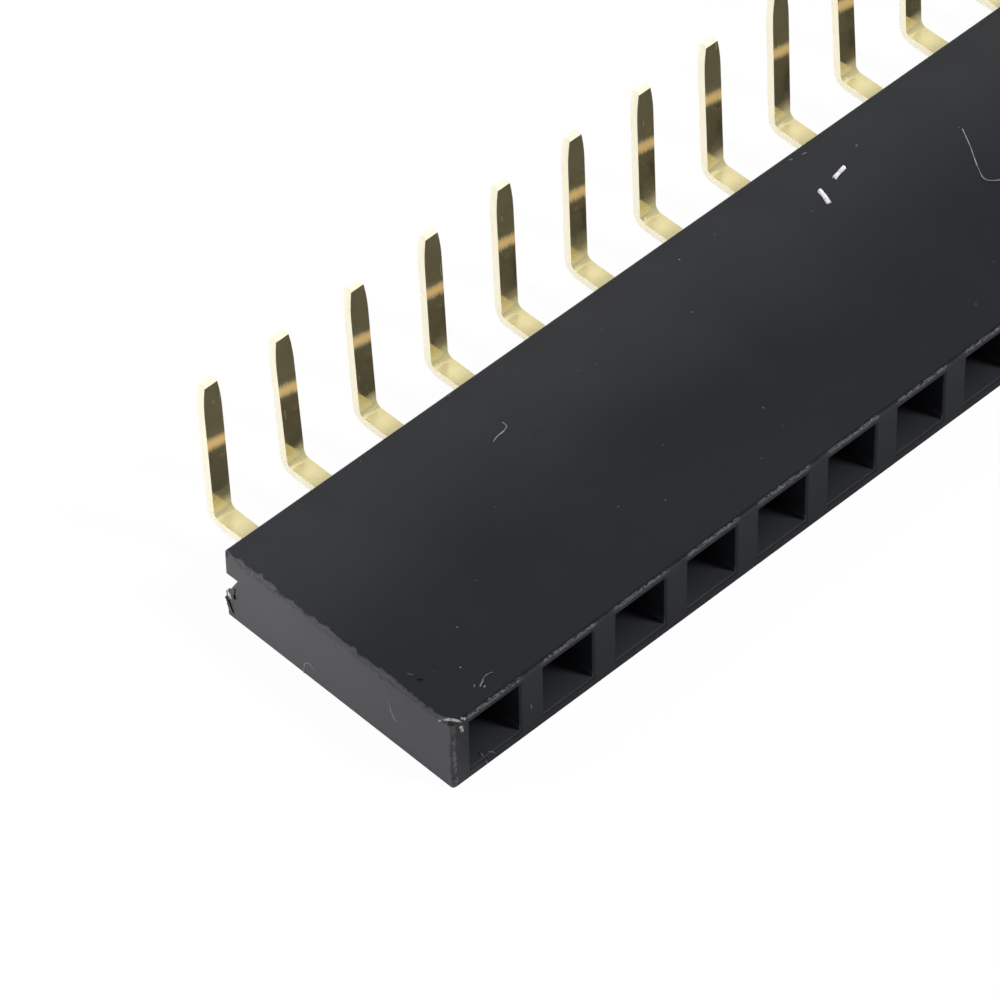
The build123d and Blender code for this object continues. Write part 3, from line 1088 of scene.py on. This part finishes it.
def white_room():
    room = bpy.data.worlds.new("white room")
    room.use_nodes = True
    tree = room.node_tree
    tree.nodes.clear()
    mirrored, from_camera = in_mirrors(tree)
    direction = put(tree, "ShaderNodeTexCoord").outputs["Generated"]
    toward_dim = put(tree, "ShaderNodeVectorMath", {0: direction, 1: dim_side}, operation="DOT_PRODUCT")
    sideways = between(tree, toward_dim.outputs["Value"], dim_start, dim_full)
    dimmed = product(tree, sideways, between(tree, split(tree, direction)[2], dim_end, dim_top))
    mirrored_room = between(tree, dimmed, 0.0, 1.0, ROOM_BRIGHT, ROOM_DIM)
    strength = put(tree, "ShaderNodeMix", {0: mirrored, 2: ROOM_LIGHT, 3: mirrored_room}).outputs[0]
    strength = calc(tree, "MAXIMUM", strength, from_camera)
    sky = put(tree, "ShaderNodeBackground", {"Color": PURE_WHITE, "Strength": strength})
    put(tree, "ShaderNodeOutputWorld", {"Surface": sky.outputs[0]})
    return room


table_mesh = bpy.data.meshes.new("table")
table_signs = ((-1, -1), (1, -1), (1, 1), (-1, 1))
table_corners = [(x * TABLE_HALF, y * TABLE_HALF, table_level) for x, y in table_signs]
table_mesh.from_pydata(table_corners, [], [(0, 1, 2, 3)])
table_mesh.materials.append(white_paper())
table = add_object("table", table_mesh)
scene.world = white_room()
print("table and room ready")

# %% [markdown]
# ## Lights
# Two softboxes: a small one from the front, and a large one from behind on the left. The small one throws
# the slanted shadow into each socket. It is hidden from mirrors, because its image in the runs would be a
# hard white bar.

# %% Lights
LIGHT_DISTANCE = 0.5
FRONT_WIDTH, FRONT_POWER = 0.12, 2.45
BACK_WIDTH, BACK_POWER = 0.3, 1.9
front_direction = (0.364, -0.646, 0.669)
back_direction = (-0.65, 0.65, 0.6)
lit_place = on_strip(8.0, 4.0, 1.0)


def soft_light(name, direction, width, power):
    """A square softbox that looks at the strip from one direction."""
    lamp = bpy.data.lights.new(name, "AREA")
    lamp.size = width
    lamp.energy = power
    light = add_object(name, lamp)
    toward = Vector(direction).normalized()
    light.location = lit_place + LIGHT_DISTANCE * toward
    light.rotation_euler = (-toward).to_track_quat("-Z", "Y").to_euler()
    return light


front_light = soft_light("front softbox", front_direction, FRONT_WIDTH, FRONT_POWER)
front_light.visible_glossy = False
soft_light("back left softbox", back_direction, BACK_WIDTH, BACK_POWER)

# %% [markdown]
# ## Camera
# A long lens that looks down at about 47 degrees. Its place was found from the photo: with the sockets 2.54
# mm apart, they all line up as they do there from one place only.

# %% Camera
LENS = 256.03
SENSOR = 36.0
CAMERA_DISTANCE = 181.125 * MM
camera_aim = on_strip(6.787, 5.338, 1.385)
camera_right = Vector((0.71902, -0.69487, -0.01297))
camera_up = Vector((0.51391, 0.51903, 0.68301))
camera_forward = Vector((0.46787, 0.49776, -0.73029))

lens_settings = bpy.data.cameras.new("camera")
lens_settings.lens = LENS
lens_settings.sensor_width = SENSOR
lens_settings.clip_start = CAMERA_DISTANCE / 20
lens_settings.clip_end = TABLE_HALF * 4
camera = add_object("camera", lens_settings)
axes = Matrix((camera_right, camera_up, -camera_forward)).transposed()
camera.matrix_world = Matrix.Translation(camera_aim - CAMERA_DISTANCE * camera_forward) @ axes.to_4x4()
scene.camera = camera
print(f"camera {CAMERA_DISTANCE / MM:.0f} mm away, lens {LENS:.0f} mm")
